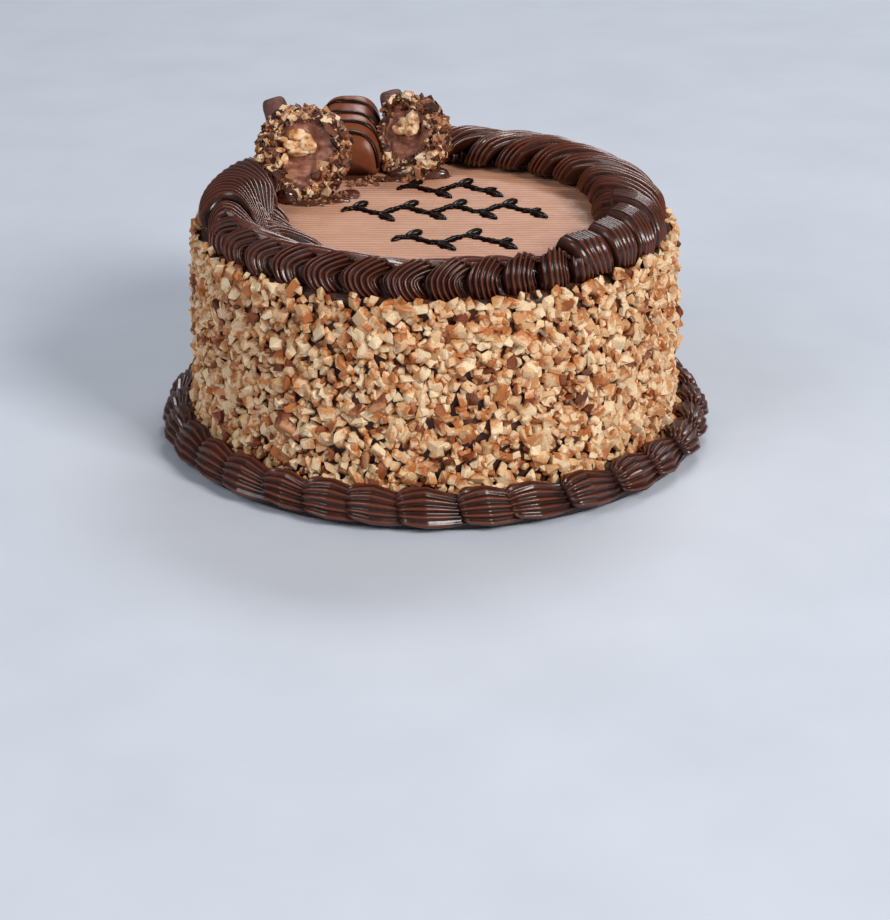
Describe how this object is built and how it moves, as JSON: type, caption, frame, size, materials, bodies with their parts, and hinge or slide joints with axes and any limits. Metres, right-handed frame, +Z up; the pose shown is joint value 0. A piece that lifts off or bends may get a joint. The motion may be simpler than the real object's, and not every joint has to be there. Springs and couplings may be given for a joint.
{
  "type": "chocolate hazelnut cake",
  "caption": "Small round layer cake with chopped hazelnuts on its side, piped chocolate borders, an icing top with piped vines, and cut pralines, a wafer bar and chocolate sticks on top.",
  "frame": {"origin": "middle of the flat base, on the surface that the cake stands on", "axes": "+Z up; -Y is the front, which the picture looks at; +X is to the right seen from the front"},
  "size_m": [0.1898, 0.1904, 0.1044],
  "materials": {
    "nut_coat": "chopped roasted hazelnuts pressed into milk chocolate icing",
    "milk_icing": "soft combed milk chocolate icing",
    "dark_piping": "glossy ridged piped chocolate icing",
    "praline_crust": "crisp wafer and chopped nuts in milk chocolate",
    "praline_cream": "smooth hazelnut chocolate cream",
    "nut_kernel": "cut roasted hazelnut",
    "milk_chocolate": "glossy milk chocolate with dark drizzle",
    "stick_chocolate": "rolled chocolate with a fine dusty bloom",
    "ganache": "shiny set ganache"
  },
  "bodies": {
    "root": {"cake_body": "nut_coat", "top_icing": "milk_icing", "top_border": "dark_piping", "bottom_border": "dark_piping", "praline_crust_left": "praline_crust", "praline_cream_left": "praline_cream", "praline_kernel_left": "nut_kernel", "praline_crust_right": "praline_crust", "praline_cream_right": "praline_cream", "praline_kernel_right": "nut_kernel", "wafer_bar": "milk_chocolate", "stick_left": "stick_chocolate", "stick_right": "stick_chocolate", "ganache_dab": "ganache", "ganache_bed": "ganache"}
  },
  "joints": []
}
